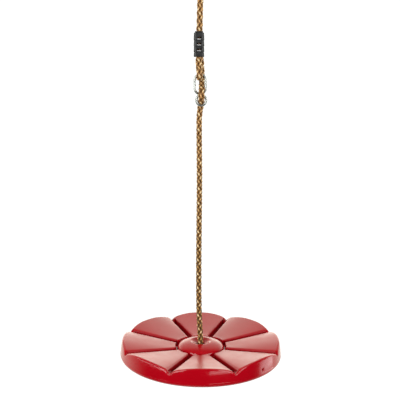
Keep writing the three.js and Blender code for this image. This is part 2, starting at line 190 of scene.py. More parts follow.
def tangents_of(points):
    return unit(np.gradient(points, axis=0))


def sides_of(along, towards):
    """Two directions across a line that runs along: one leaning towards a side, one across it."""
    right = unit(towards - along * np.sum(towards * along, axis=1, keepdims=True))
    return right, np.cross(along, right)


# ---- material helpers ----
def new_material(name, color, roughness, metallic=0.0):
    material = bpy.data.materials.new(name)
    material.use_nodes = True
    tree = material.node_tree
    shader = tree.nodes["Principled BSDF"]
    shader.inputs["Base Color"].default_value = (*color, 1)
    shader.inputs["Roughness"].default_value = roughness
    shader.inputs["Metallic"].default_value = metallic
    return material, tree, shader


def add_node(tree, kind, **values):
    """A node with its properties set, and its inputs set or linked from another node's output."""
    node = tree.nodes.new(kind)
    for key, value in values.items():
        if hasattr(node, key):
            setattr(node, key, value)
        elif isinstance(value, bpy.types.NodeSocket):
            tree.links.new(value, node.inputs[key])
        else:
            node.inputs[key].default_value = value
    return node


def noise_node(tree, scale, detail=3.0, roughness=0.5, stretch=(1, 1, 1), source="Object"):
    """Noise over the object's own coordinates in metres, or over its UVs."""
    coordinate = add_node(tree, "ShaderNodeTexCoord")
    mapping = add_node(tree, "ShaderNodeMapping", Vector=coordinate.outputs[source], Scale=stretch)
    return add_node(tree, "ShaderNodeTexNoise", Vector=mapping.outputs["Vector"], Scale=scale,
                    Detail=detail, Roughness=roughness).outputs["Fac"]


def ramp_node(tree, source, stops):
    """A colour ramp on the source socket; stops are (position, colour) pairs."""
    node = add_node(tree, "ShaderNodeValToRGB", Fac=source)
    elements = node.color_ramp.elements
    while len(elements) < len(stops):
        elements.new(0.5)
    for element, (position, color) in zip(elements, stops):
        element.position = position
        element.color = (*color, 1)
    return node.outputs["Color"]


def grey(value):
    return (value, value, value)


def vary_roughness(tree, shader, source, low, high):
    level = ramp_node(tree, source, [(0.3, grey(low)), (0.7, grey(high))])
    tree.links.new(level, shader.inputs["Roughness"])


def add_bump(tree, shader, source, strength, distance, under=None):
    node = add_node(tree, "ShaderNodeBump", Strength=strength, Distance=distance, Height=source)
    if under is not None:
        tree.links.new(under, node.inputs["Normal"])
    tree.links.new(node.outputs["Normal"], shader.inputs["Normal"])
    return node.outputs["Normal"]


def attribute(tree, name):
    return add_node(tree, "ShaderNodeAttribute", attribute_name=name).outputs["Fac"]


def parts_of(tree, source):
    """The X, Y and Z of a texture coordinate."""
    place = add_node(tree, "ShaderNodeTexCoord")
    return add_node(tree, "ShaderNodeSeparateXYZ", Vector=place.outputs[source]).outputs


def ease_node(tree, source, low, high, out_low, out_high):
    """An even ease of the source from out_low at low to out_high at high."""
    return add_node(tree, "ShaderNodeMapRange", interpolation_type="SMOOTHSTEP", Value=source, **{
        "From Min": low, "From Max": high, "To Min": out_low, "To Max": out_high}).outputs["Result"]


def combine(tree, operation, first, second):
    node = add_node(tree, "ShaderNodeMath", operation=operation)
    for socket, value in zip(node.inputs, (first, second)):
        if isinstance(value, float):
            socket.default_value = value
        else:
            tree.links.new(value, socket)
    return node.outputs["Value"]


def multiply_colors(tree, first, second, share=1):
    """First times second, or only a share of the way there."""
    return add_node(tree, "ShaderNodeMix", data_type="RGBA", blend_type="MULTIPLY", A=first, B=second,
                    Factor=share).outputs["Result"]


# ---- materials ----
SIDE_GLOSS = 0.36  # specular level of the seat's rim and hub
TOP_GLOSS = 0.55  # and of its petals and underside
DARKENED_LENGTH = 0.50  # metres of rope above the seat that are darkened, less and less upwards


def red_plastic():
    """Glossy blow-moulded polyethylene: an even red with a faint orange peel and fine scuffs.

    The petals' tops and the underside are a little matt; the grooves are rougher and less glossy, and
    their colour is darkened as painted shade.
    """
    material, tree, shader = new_material("red_plastic", (0.45, 0.0, 0.007), 0.20)
    tone = noise_node(tree, 14, 3)
    color = ramp_node(tree, tone, [(0.25, (0.42, 0.0, 0.006)), (0.75, (0.48, 0.0, 0.008))])
    wear = ease_node(tree, noise_node(tree, 55, 6, 0.62), 0.3, 0.7, 0.12, 0.19)
    tops = attribute(tree, "shade")
    extra = ease_node(tree, tops, 0.0, 1.0, 0.0, 0.16)
    groove = attribute(tree, "groove")
    groove_matt = ease_node(tree, groove, 0.0, 1.0, 0.0, 0.35)
    matt = combine(tree, "ADD", wear, combine(tree, "ADD", extra, groove_matt))
    tree.links.new(matt, shader.inputs["Roughness"])
    gloss = ease_node(tree, tops, 0.0, 1.0, SIDE_GLOSS, TOP_GLOSS)
    groove_less_gloss = ease_node(tree, groove, 0.0, 0.8, 1.0, 0.1)
    tree.links.new(combine(tree, "MULTIPLY", gloss, groove_less_gloss), shader.inputs["Specular IOR Level"])
    # painted shade: the grooves' colour is darkened towards a deep red
    darkened = add_node(tree, "ShaderNodeMix", data_type="RGBA", Factor=groove, A=color,
                      B=(0.30, 0.0, 0.004, 1))
    tree.links.new(darkened.outputs["Result"], shader.inputs["Base Color"])
    peel = add_bump(tree, shader, noise_node(tree, 420, 2), 0.04, 0.0003)
    scuff = noise_node(tree, 90, 8, 0.75, stretch=(1, 6, 1))
    add_bump(tree, shader, scuff, 0.03, 0.0002, under=peel)
    return material


def hemp_braid():
    """Polypropylene yarn in a hemp colour: fine lines along each strand, with painted shade where it dips
    and painted glints on its crowns.

    The rope is darker towards its foot, less and less up to half a metre above the seat, but not on its
    painted glints.
    """
    material, tree, shader = new_material("hemp_braid", (0.42, 0.27, 0.13), 0.48)
    lines = noise_node(tree, 1.0, 3, 0.6, stretch=(220, 26, 1), source="UV")
    tone = ramp_node(tree, lines, [(0.3, (0.74, 0.70, 0.64)), (0.7, (1.16, 1.14, 1.12))])
    patch = ramp_node(tree, noise_node(tree, 60, 2), [(0.3, grey(0.84)), (0.7, grey(1.04))])
    first = multiply_colors(tree, tone, patch)
    # the shade attribute is painted light; the ramp below turns it into painted shade and painted glints
    depth = attribute(tree, "shade")
    yarn = ramp_node(tree, depth, [
        (0.0, (0.085, 0.034, 0.006)), (0.22, (0.17, 0.072, 0.013)), (0.44, (0.40, 0.195, 0.054)),
        (0.70, (0.90, 0.54, 0.21)), (0.90, (1.0, 0.88, 0.57))])
    second = multiply_colors(tree, first, yarn)
    z = parts_of(tree, "Object")["Z"]
    height = ease_node(tree, z, PETALS_PLANE, PETALS_PLANE + DARKENED_LENGTH, 0.0, 1.0)
    # darker towards the foot of the rope; the painted glints are left as they are
    foot_darkening = ramp_node(tree, height, [(0.0, (0.50, 0.52, 0.26)), (1.0, (1.0, 1.0, 1.0))])
    off_painted_glints = ease_node(tree, depth, 0.45, 0.85, 1.0, 0.0)
    darkened = multiply_colors(tree, second, foot_darkening, off_painted_glints)
    tree.links.new(darkened, shader.inputs["Base Color"])
    add_bump(tree, shader, lines, 0.55, 0.0006)
    shader.inputs["Specular IOR Level"].default_value = 0.5
    return material


def zinc_steel():
    """Zinc-plated steel: a soft grey mottle with a fine grain."""
    color = (0.42, 0.43, 0.41)
    material, tree, shader = new_material("zinc_steel", color, 0.30, 1.0)
    mottle = noise_node(tree, 160, 4, 0.55)
    tone = ramp_node(tree, mottle, [
        (0.3, tuple(c * 0.88 for c in color)), (0.7, tuple(c * 1.10 for c in color))])
    tree.links.new(tone, shader.inputs["Base Color"])
    vary_roughness(tree, shader, mottle, 0.30, 0.42)
    add_bump(tree, shader, noise_node(tree, 900, 3), 0.08, 0.0002)
    return material


def black_plastic(name, dark, light):
    """Moulded black nylon with a fine spark-eroded texture, between two greys; with pale greys it is a
    painted highlight.
    """
    material, tree, shader = new_material(name, grey(dark), 0.42)
    tone = noise_node(tree, 120, 4)
    color = ramp_node(tree, tone, [(0.3, grey(dark)), (0.75, grey(light))])
    tree.links.new(color, shader.inputs["Base Color"])
    vary_roughness(tree, shader, tone, 0.34, 0.50)
    add_bump(tree, shader, noise_node(tree, 1400, 2), 0.25, 0.0002)
    return material


RED = red_plastic()
HEMP = hemp_braid()
ZINC = zinc_steel()
BLACK = black_plastic("black_plastic", 0.010, 0.026)
LIP_HIGHLIGHT = black_plastic("rubbed_plastic", 0.45, 0.75)  # pale, as a painted highlight on the clamp's sloped window lips


# ---- shaping helpers ----
def facing_out(points, faces):
    """The same faces, turned over if together they enclose a negative volume."""
    p = np.asarray(points, dtype=float)
    volume = 0.0
    for face in faces:
        a = p[face[0]]
        for k in range(1, len(face) - 1):
            volume += float(np.dot(a, np.cross(p[face[k]], p[face[k + 1]])))
    return faces if volume > 0 else [tuple(reversed(face)) for face in faces]


def lofted(rings, closed=False):
    """Points and faces of a skin over the rings, capped at both ends unless it closes on itself."""
    rings = np.asarray(rings)
    rows, columns = rings.shape[:2]
    points = list(rings.reshape(-1, 3))
    faces = grid_faces(rows, columns, along=True) if closed else tube_faces(rows, columns)
    return points, facing_out(points, faces)


def joined(parts):
    """One list of points and faces out of several."""
    points = []
    faces = []
    for part_points, part_faces in parts:
        first = len(points)
        points += list(part_points)
        faces += [tuple(first + i for i in face) for face in part_faces]
    return points, faces


def swept(line, side_radius, other_radius, side, sides=20, closed=False):
    """Rings of an oval section along a line; side_radius is the half size along side."""
    line = np.asarray(line, dtype=float)
    if closed:
        along = unit(np.roll(line, -1, axis=0) - np.roll(line, 1, axis=0))
    else:
        along = tangents_of(line)
    right, forward = sides_of(along, np.asarray(side))
    right = right * np.broadcast_to(side_radius, len(line))[:, None]
    forward = forward * np.broadcast_to(other_radius, len(line))[:, None]
    turn = angles_round(sides)[None, :, None]
    return line[:, None] + np.cos(turn) * right[:, None] + np.sin(turn) * forward[:, None]


def wire(line, radius, side, sides=20, closed=False):
    return lofted(swept(line, radius, radius, side, sides, closed), closed)


def rounded_ends(line, radius):
    """How the radius along a line closes to a round nose at its ends."""
    run = lengths_along(line)
    inside = np.clip(1 - np.minimum(run, run[-1] - run) / radius, 0, 1)
    return np.sqrt(np.maximum(0.0004, 1 - inside ** 2))


def stand_in(piece, body, node):
    """The piece rides a body and replaces one of its CAD nodes."""
    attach(piece, body)
    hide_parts(node)


def all_at(points):
    return [at(*p) for p in points]


def fitting(name, shape, body, node, material=ZINC, place=all_at):
    """A piece of the shape that stands in for a CAD node."""
    points, faces = shape
    piece = mesh_object(name, place(points), faces, material)
    stand_in(piece, body, node)
    return piece


def cut_away(piece, shape, place=all_at, material=None):
    """Cuts the shape out of the piece; the cut faces may have a material of their own."""
    points, faces = shape
    cutter = mesh_object("cutter", place(points), faces, material or piece.data.materials[0])
    cut = piece.modifiers.new("cut", "BOOLEAN")
    cut.material_mode = "TRANSFER"
    cut.operation = "DIFFERENCE"
    cut.solver = "EXACT"
    cut.object = cutter
    bpy.context.view_layer.objects.active = piece
    bpy.ops.object.modifier_apply(modifier=cut.name)
    bpy.data.objects.remove(cutter)


def sharp_smooth(piece, angle=38):
    """Smooth shading except across edges sharper than the angle."""
    bpy.ops.object.select_all(action="DESELECT")
    bpy.context.view_layer.objects.active = piece
    piece.select_set(True)
    bpy.ops.object.shade_smooth_by_angle(angle=math.radians(angle))


# ---- rope ----
BRAID_RADIUS = 5.45  # over the crowns of the braid
STRAND_LAY = 51.6  # length in which a strand goes once round the rope
STRANDS_EACH_WAY = 4
STRAND_HALF_WIDTH = 1.85
STRAND_HALF_THICKNESS = 1.4
STRAND_SIDES = 10
HIDDEN_SIDE = 0.45  # how much of its light a strand keeps on the side that faces the core
CLAMPED_LIGHT = 0.05  # and anywhere inside the clamp
CORE_INSET = 0.6  # from the strands' middle line in to the core, which is painted dark as shade
BRAID_WAVE = 0.85  # how far a strand rises and dips
BRAID_START = 0.68  # where round the rope the braid begins, in radians
BRAID_DRIFT = 0.0006  # and how fast it turns along the rope, in radians per millimetre
ROPE_STEP = 1.3

LINK_PLANE = -4  # y of the link and clamp; the routes' y is measured from it
CLAMP_BOTTOM = 514.6
CLAMP_TOP = 554.6
CROWN_HEIGHT = 652
TOP_BEND_RADIUS = 22.3
EYE_NIP = (498, 486)  # the eye is flat from the second height down to its bottom
EYE_BOTTOM = 472
MAIN_RUN_FRONT = 12  # y in front of which a leg belongs to the eye
WEAVE_NIP_TOP = (480, 468)  # the weave is flat from the second height here
WEAVE_NIP_FOOT = (414, 430)  # down to the second height here
EYE_ROUTE = [
    [-2.6, -5.4, 554.3], [-3.0, -5.4, 534.6], [-3.4, -5.6, 514.6], [-3.6, -6.2, 501],
    [-2.4, -6.6, 490.8], [-2.0, -6.6, 485.0], [-2.0, -5.7, 481.7], [-2.0, -3.3, 479.3],
    [-2.0, 0, 478.3], [-2.0, 3.3, 479.3], [-2.0, 5.7, 481.7], [-2.0, 6.6, 485.0],
    [-2.4, 6.6, 490.8], [-3.6, 6.2, 501], [-3.4, 5.6, 514.6], [-3.2, 5.4, 534.6],
    [-3.0, 5.4, 549.6],
]
WEAVE_ROUTE = [
    [-1.6, 18.3, 554.3], [-1.0, 18.3, 534.6], [0.2, 18.2, 514.6], [1.2, 17.0, 500],
    [2.0, 15.4, 486], [2.0, 13.6, 476], [1.9, 9.6, 468.6], [1.8, 3.6, 463.6],
    [1.6, -2.6, 460], [1.4, -6.6, 455.2], [1.2, -6.7, 449.4], [1.0, -3.3, 444.7],
    [0.9, 0, 441.7], [0.7, 3.3, 438.5], [0.2, 6.7, 433.4], [-0.8, 6.2, 427.6],
    [-1.9, 4.6, 419.5], [-2.6, 3.3, 410], [-2.7, 3.2, 402],
]
LOWER_ROUTE = [
    [-2.7, 3.2, 384], [-2.2, 3.4, 300], [-2.9, 3.6, 220], [-3.5, 3.8, 150], [-2.9, 3.9, 60],
    [-1.0, 4, 20], [-0.3, 4, 0], [-0.3, 4, -8.8],
]
TAIL_ROUTE = [[-0.2, 4, -20], [0.2, 4, -40], [0.3, 4.6, -59.4]]
KNOT_MIDDLE = -22.1


def run_route(route, side):
    """A stretch from the clamp's top up to one side of the top bend."""
    x, y = route[0][:2]
    upper_y = side * TOP_BEND_RADIUS - LINK_PLANE
    return [[x, y, CLAMP_TOP + 0.6], [0, upper_y, CROWN_HEIGHT - 8], [0, upper_y, CROWN_HEIGHT - 0.6]]


def bend_route():
    """The half circle over the thimble, from front to back, without its two ends."""
    return [[0, TOP_BEND_RADIUS * math.cos(angle) - LINK_PLANE,
             CROWN_HEIGHT + TOP_BEND_RADIUS * math.sin(angle)]
            for angle in np.linspace(math.pi, 0, 13)[1:-1]]


def whole_rope():
    """The rope's line from the eye's dead end to the tail, and where each stretch of it begins."""
    stretches = [
        ("eye", EYE_ROUTE[::-1]),
        ("return_run", run_route(EYE_ROUTE, -1)),
        ("top_bend", bend_route()),
        ("main_run", run_route(WEAVE_ROUTE, 1)[::-1]),
        ("weave", WEAVE_ROUTE),
        ("lower_run", LOWER_ROUTE),
        ("tail", TAIL_ROUTE),
    ]
    points = []
    starts = {}
    for name, route in stretches:
        starts[name] = len(points)
        points += [[x, y + LINK_PLANE, z] for x, y, z in route]
    return points, starts


def squeeze_at(line):
    """How wide and how thick the rope is at each point: it flattens round the link's bars."""
    z = line[:, 2]
    y = line[:, 1] - LINK_PLANE
    eye = smooth(*EYE_NIP, z) * (y < MAIN_RUN_FRONT) * (z > EYE_BOTTOM)
    weave = smooth(*WEAVE_NIP_TOP, z) * smooth(*WEAVE_NIP_FOOT, z)
    held = smooth(CLAMP_BOTTOM - 4, CLAMP_BOTTOM + 2, z) * smooth(CLAMP_TOP + 5, CLAMP_TOP, z)
    bent = smooth(CROWN_HEIGHT - 30, CROWN_HEIGHT - 10, z)
    wide = 1 + 0.05 * eye + 0.10 * weave - 0.09 * held - 0.07 * bent
    thin = 1 - 0.26 * eye - 0.24 * weave - 0.09 * held - 0.07 * bent
    return wide, thin


def braided_mesh(name, line, run, wide, thin, right, forward):
    """Eight strands, four each way round, over and under each other, about a core painted dark as shade.

    Each point's shade is painted light: a painted glint on every crown, brighter on every other strand,
    and painted shade along a strand's edges, on its hidden side and inside the clamp.
    """
    points = []
    faces = []
    uvs = []
    shade = []
    twist = 2 * math.pi * run / STRAND_LAY
    ring = angles_round(STRAND_SIDES)
    spread = BRAID_RADIUS - STRAND_HALF_THICKNESS - BRAID_WAVE
    z = line[:, 2]
    # painted shade on the legs of the eye inside the clamp
    gripped = (z > CLAMP_BOTTOM) & (z < CLAMP_TOP) & (line[:, 1] < MAIN_RUN_FRONT + LINK_PLANE)
    daylight = np.where(gripped, CLAMPED_LIGHT, 1.0)
    for way in (1, -1):
        for k in range(STRANDS_EACH_WAY):
            turn = way * twist + 2 * math.pi * k / STRANDS_EACH_WAY
            lift = way * np.cos(STRANDS_EACH_WAY * turn)
            angle = turn + BRAID_START + BRAID_DRIFT * run
            radius = spread + BRAID_WAVE * lift
            outward = ((np.cos(angle) * wide)[:, None] * right
                       + (np.sin(angle) * thin)[:, None] * forward)
            middle = line + radius[:, None] * outward
            outward, across = sides_of(tangents_of(middle), unit(outward))
            first = len(points)
            for i in range(len(line)):
                for a in ring:
                    across_part = STRAND_HALF_WIDTH * math.cos(a) * across[i]
                    out_part = STRAND_HALF_THICKNESS * math.sin(a) * outward[i]
                    points.append(middle[i] + across_part + out_part)
                    uvs.append((run[i] / 1000, a / (2 * math.pi)))
                    # painted light: a glint on each crown, brighter on every other strand, and painted
                    # shade along the edges and on the hidden side
                    edge = abs(math.cos(a)) ** 3
                    height = 0.5 + 0.5 * lift[i]
                    crown = (1.0 if k % 2 else 0.5) * height ** 4
                    light = (0.30 + 0.15 * height + 0.55 * crown) * (1 - 0.60 * edge)
                    light *= 1.0 if math.sin(a) > -0.3 else HIDDEN_SIDE
                    shade.append(light * daylight[i])
            faces += tube_faces(len(line), STRAND_SIDES, first)
    first = len(points)
    core_radius = spread - CORE_INSET
    for i in range(len(line)):
        for a in ring:
            offset = (core_radius * math.cos(a) * wide[i] * right[i]
                      + core_radius * math.sin(a) * thin[i] * forward[i])
            points.append(line[i] + offset)
            uvs.append((run[i] / 1000, a / (2 * math.pi)))
            # painted shade: the core is painted fully dark
            shade.append(0.0)
    faces += tube_faces(len(line), STRAND_SIDES, first)
    return mesh_object(name, all_at(points), faces, HEMP, uvs, shade=shade)


def make_rope():
    """Cuts the whole rope's line into its stretches and makes a braided piece of each."""
    route, starts = whole_rope()
    line = resample(spline(route, 0.4), ROPE_STEP)
    nearest = [int(np.argmin(np.linalg.norm(line - np.array(route[start]), axis=1)))
               for start in starts.values()]
    nearest[0] = 0
    nearest.append(len(line) - 1)
    run = lengths_along(line)
    wide, thin = squeeze_at(line)
    right, forward = sides_of(tangents_of(line), np.array([1, 0, 0]))
    pieces = {}
    for k, name in enumerate(starts):
        part = slice(nearest[k], nearest[k + 1] + 1)
        piece = braided_mesh(f"braid_{name}", line[part], run[part], wide[part], thin[part],
                             right[part], forward[part])
        pieces[name] = (piece, line[part])
    return pieces


ROPE = make_rope()


def rope_declare(name, body=None, backwards=False):
    """Hides the CAD node that a stretch of the rope replaces, and lets the stretch ride a body if one is
    given.
    """
    piece, line = ROPE[name]
    picked = np.linspace(0, len(line) - 1, max(3, len(line) // 3)).round().astype(int)
    path = [tuple(at(*line[i])) for i in picked]
    if backwards:
        path = path[::-1]
    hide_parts(f"rope_{name}")
    if body:
        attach(piece, body)
    return piece


rope_declare("eye", "adjuster", backwards=True)
rope_declare("top_bend", "rope_head")
rope_declare("weave", "adjuster")
for run_name, run_y in (("return_run", -20), ("main_run", 20)):
    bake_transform(rope_declare(run_name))


# ---- knot and tail ----
KNOT_WRAP_RADIUS = 9.6
KNOT_TUCK_RADIUS = 3.5  # where the wraps tuck in at both ends
KNOT_TURNS = 1.9
KNOT_PITCH = 8.6
KNOT_THIN = 0.92  # the wraps are pressed a little flat


def make_knot():
    """The stopper knot's outer wraps, which coil down and tuck in at both ends."""
    half = KNOT_TURNS * KNOT_PITCH / 2
    line = []
    for share in np.linspace(0, 1, 91):
        angle = 0.6 + 2 * math.pi * KNOT_TURNS * share
        tuck = float(smooth(0, 0.10, share) * smooth(1, 0.90, share))
        radius = KNOT_TUCK_RADIUS + (KNOT_WRAP_RADIUS - KNOT_TUCK_RADIUS) * tuck
        line.append([radius * math.cos(angle), radius * math.sin(angle),
                     KNOT_MIDDLE + half - 2 * half * share])
    line = resample(spline(line, 0.5), ROPE_STEP)
    right, forward = sides_of(tangents_of(line), unit(line * np.array([1, 1, 0])))
    even = np.ones(len(line))
    run = lengths_along(line)
    return braided_mesh("braid_knot", line, run, even, even * KNOT_THIN, right, forward)


knot = make_knot()
tail = ROPE["tail"][0]
stand_in(knot, "rope_foot", "rope_knot")
stand_in(tail, "rope_foot", "rope_tail")

lower_run = rope_declare("lower_run")
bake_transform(lower_run)


# ---- seat ----
SEAT_RADIUS = 146.1  # at the widest, half-way down the rim, beside its seam line
SEAT_DEPTH = 21.5
PETALS = 8
SEAT_TURN = math.radians(1.35)
SEAT_AXIS = Vector(JOINTS["seat_spin"]["axis"])
HUB_RADIUS = 42.0
PETAL_START = 48.4
RIM_EDGE = 140.0
PETAL_LOW = -1.9  # the petals' height beside the hub
CORNER_RISE = 0.5  # and at their outer corners
PETAL_CROWN = 8.5  # how much higher the outer edge is at its middle
PETAL_SHOULDER = 3.0  # and how much it gains close beside the groove
RIM_LIFT = (-14.5, -1)  # down the rim, heights between which the petals' crown dies away
GROOVE_FADE = (-5.5, -0.6)  # heights between which the grooves do
CORNER_FADE = (-7, -1)  # and heights between which the petals' corners do
MOAT = 1.8  # from the hub's radius out to where the grooves begin
GROOVE_DEPTH = 9.0
CORNER_RADIUS = 5.0  # of a petal's outer corners, seen from above
CORNER_OFF = 3.0  # from a groove's middle to where a corner starts
LOW_EDGE_WIDTH = 11.0  # the rounding between the rim and the underside
LOW_EDGE_HEIGHT = 7.0
UNDERSIDE_RINGS = (118, 74)  # radii of the two shallow grooves underneath, and their section
RING_GROOVE = [(2.4, 0), (1.5, 0.25), (0.8, 0.7), (-0.8, 0.7), (-1.5, 0.25), (-2.4, 0)]
GROOVE_SHADE_SPREAD = 2.6  # how far the grooves' painted shade and extra roughness reach up their sides
VENT_ANGLE = math.radians(-45)
VENT_HEIGHT = -6.0
VENT_RADIUS = 1.9
VENT_MOUTH = 4.4  # the cutter's radius just outside the rim, so that the mouth flares
# distance from a groove's middle, and the share of its depth there
GROOVE_PROFILE = [(0, 1), (2.6, 1), (3.2, 0.96), (3.7, 0.84), (4.1, 0.60), (4.4, 0.38), (4.8, 0.22),
                  (5.4, 0.11), (6.2, 0.045), (7.2, 0.015), (8.4, 0), (10.4, 0), (13.5, 0)]


def seat_to_frame(points):
    """Seat points, millimetres above the petals' plane, turned and leaned as the seat hangs."""
    lean = Vector((0, 0, 1)).rotation_difference(SEAT_AXIS).to_matrix()
    turn = Matrix.Rotation(SEAT_TURN, 3, "Z")
    whole = np.array(lean @ turn)
    pivot = np.array([0, 0, TILT_PIVOT])
    return all_at((np.asarray(points) - pivot) @ whole.T + pivot)


def seat_outline():
    """The seat's section as (radius, height) rows, from the rope hole over the top and back.

    From the petals' start to the rim the heights are measured down from the petals' own surface.
    """
    hub = [(6.8, -6), (6.8, -3.4), (6.8, -1.2), (7.4, 0.2), (9, 1.1), (11.5, 2.3), (14, 3.6),
           (16.4, 5.1), (17.7, 5.8), (18.7, 6.1), (20.2, 6.0), (24, 5.4), (29, 4.1), (34, 2.2), (38, -0.1),
           (40.4, -2.2), (41.6, -4.0), (42.1, -5.8), (42.3, -7.5), (42.9, -9.4), (44, -10.0),
           (45.1, -9.2), (45.7, -7.0), (46.2, -4.2), (46.8, -2.6), (47.5, -1.8)]
    petal = [(r, 0.0) for r in (PETAL_START, 51, 56, 62, 70, 78, 86, 94, 102, 109, 115, 120, 124, 127.5,
                                130.5, 133, 135, 136.6, 138, 139)]
    rim = [(140.2, -0.08), (141.1, -0.35), (141.8, -0.8), (142.35, -1.4), (142.7, -2.1), (143.1, -3.2),
           (143.6, -4.4), (144.2, -5.7), (144.7, -7.0), (145.1, -8.3), (145.4, -9.6), (145.7, -10.9),
           (145.9, -12.1), (146.05, -13.1), (146.3, -13.5), (SEAT_RADIUS, -13.9), (SEAT_RADIUS, -14.6)]
    base = -SEAT_DEPTH
    low = [(SEAT_RADIUS - LOW_EDGE_WIDTH * pull, base + LOW_EDGE_HEIGHT * lift)
           for pull, lift in quarter(8)[1:]]
    under = [(132, base), (124, base)]
    for ring in UNDERSIDE_RINGS:
        under += [(ring + out, base + up) for out, up in RING_GROOVE]
    under += [(64, base), (48, base), (36, base), (30, base), (28.2, base + 0.2), (27.2, base + 1),
              (27, base + 2.5), (27, -13), (26.9, -8), (26.2, -6.5), (25, -6), (18, -6), (12, -6),
              (8, -6)]
    return hub + petal + rim + low + under


def seat_columns(radius):
    """Angles across half a petal from a groove's middle, crowded near the groove."""
    half = math.pi / PETALS
    spare = 9
    count = len(GROOVE_PROFILE) + spare
    angles = []
    for k, (distance, _) in enumerate(GROOVE_PROFILE):
        share = min(1, distance / max(radius, 1e-6))
        angles.append(min(math.asin(share), half * k / count))
    last = angles[-1]
    for k in range(1, spare + 2):
        share = k / (spare + 1)
        angles.append(last * (1 - share) + half * share)
    return angles


def groove_share(distance):
    return float(np.interp(distance, [d for d, _ in GROOVE_PROFILE], [s for _, s in GROOVE_PROFILE]))


def petal_surface(radius, share):
    """A petal's height at a radius; share runs from 0 at a groove to 1 at the petal's middle."""
    out = min(1.0, max(0.0, (radius - PETAL_START) / (RIM_EDGE - PETAL_START)))
    rest = 1 - min(share, 1.0)
    crown = PETAL_CROWN * (1 - rest ** 2.2) + PETAL_SHOULDER * (1 - rest ** 14)
    return PETAL_LOW + (CORNER_RISE - PETAL_LOW) * out ** 1.1 + crown * out ** 1.3


def make_seat():
    """Rows of points along the section and columns round the seat, sunk along the grooves."""
    outline = np.array(seat_outline())
    along = tangents_of(outline)
    inward = np.column_stack([along[:, 1], -along[:, 0]])
    points = []
    matt = []
    darkened = []
    half = math.pi / PETALS
    for row, (radius, height) in enumerate(outline):
        angles = seat_columns(radius)
        both = angles + [2 * half - a for a in reversed(angles[:-1])][:-1]
        on_petal = radius >= PETAL_START and height > LOW_EDGE_HEIGHT - SEAT_DEPTH - 0.1
        lift = smooth(*RIM_LIFT, height)
        down_fade = smooth(*GROOVE_FADE, height) * on_petal
        out_fade = smooth(RIM_EDGE - 5, RIM_EDGE + 2, radius) * smooth(*CORNER_FADE, height) * on_petal
        start_fade = smooth(HUB_RADIUS + MOAT, HUB_RADIUS + MOAT + 1.6, radius)
        if HUB_RADIUS + MOAT < radius < PETAL_START and height > -12:
            down_fade = 1.0
        for petal in range(PETALS):
            for angle in both:
                distance = radius * math.sin(min(angle, 2 * half - angle))
                depth = GROOVE_DEPTH * groove_share(distance) * down_fade * start_fade
                share = distance / max(radius * math.sin(half), 1e-6)
                z = height
                if on_petal:
                    whole = height + petal_surface(radius, 1) * lift
                    z = min(whole, petal_surface(radius, share) + 0.3 * height)
                r = radius + inward[row][0] * depth
                z += inward[row][1] * depth
                corner = max(0.0, CORNER_RADIUS + CORNER_OFF - max(distance, CORNER_OFF))
                pull = CORNER_RADIUS - math.sqrt(max(0.0, CORNER_RADIUS ** 2 - corner ** 2))
                r -= pull * out_fade
                place = 2 * half * (petal + 0.5) + angle
                points.append((r * math.cos(place), r * math.sin(place), z))
                worn_top = PETAL_START < radius < RIM_EDGE and height == 0
                matt.append(float(worn_top or height < 0.8 - SEAT_DEPTH))
                # how much painted shade, and extra roughness, each point of a groove gets
                darkened.append(min(1.0, depth / GROOVE_DEPTH * GROOVE_SHADE_SPREAD))
    columns = len(points) // len(outline)
    faces = [tuple(reversed(f)) for f in grid_faces(len(outline), columns, along=True)]
    seat = mesh_object("daisy_seat", seat_to_frame(points), faces, RED, shade=matt, groove=darkened)
    cut_vent(seat)
    stand_in(seat, "seat", "seat_shell")


def cut_vent(seat):
    """The small hole in the rim that lets air in and out of the moulding."""
    outward = np.array([math.cos(VENT_ANGLE), math.sin(VENT_ANGLE), 0])
    height = np.array([0, 0, VENT_HEIGHT])
    line = [(SEAT_RADIUS + reach) * outward + height for reach in (-9, -1.6, 3)]
    radius = [VENT_RADIUS, VENT_RADIUS, VENT_MOUTH]
    cut_away(seat, wire(line, radius, (0, 0, 1)), seat_to_frame)


make_seat()


# ---- adjuster link ----
LINK_WIRE = 2.1
OVAL = {"half_width": 9.3, "half_height": 9.3, "straight": 14.1, "x": -1.0, "z": 468.7}
RINGLET = {"half_width": 8.4, "half_height": 9.0, "straight": 0.0, "x": 0.85, "z": 441.7}


def loop_line(half_width, half_height, straight, x, z, y):
    """The middle of a closed wire loop that stands in the XZ plane, starting at its right."""
    line = []
    for angle in angles_round(120) + math.pi / 120:
        lift = math.copysign(straight / 2, math.sin(angle))
        line.append([x + half_width * math.cos(angle), y, z + half_height * math.sin(angle) + lift])
    return resample(np.array(line + line[:1]), 0.5)[:-1]


def weld_swell(line, middle, reach, amount):
    """How the wire thickens at a weld, with the uneven ripple of the bead."""
    away = np.linalg.norm(line - middle, axis=1)
    ripple = 1 + 0.25 * np.cos(away * 3.1)
    return 1 + amount * np.exp(-(away / reach) ** 2) * ripple


def bead(x, y, z, half_x, half_y, half_z):
    """A small squashed ball with a slightly uneven skin: a run of weld metal."""
    rings = []
    for i in range(1, 10):
        lean = math.pi * i / 10
        ring = []
        for turn in angles_round(20):
            uneven = 1 + chance.uniform(-0.03, 0.03)
            ring.append([x + half_x * uneven * math.sin(lean) * math.cos(turn),
                         y + half_y * uneven * math.sin(lean) * math.sin(turn),
                         z + half_z * uneven * math.cos(lean)])
        rings.append(ring)
    return lofted(rings)


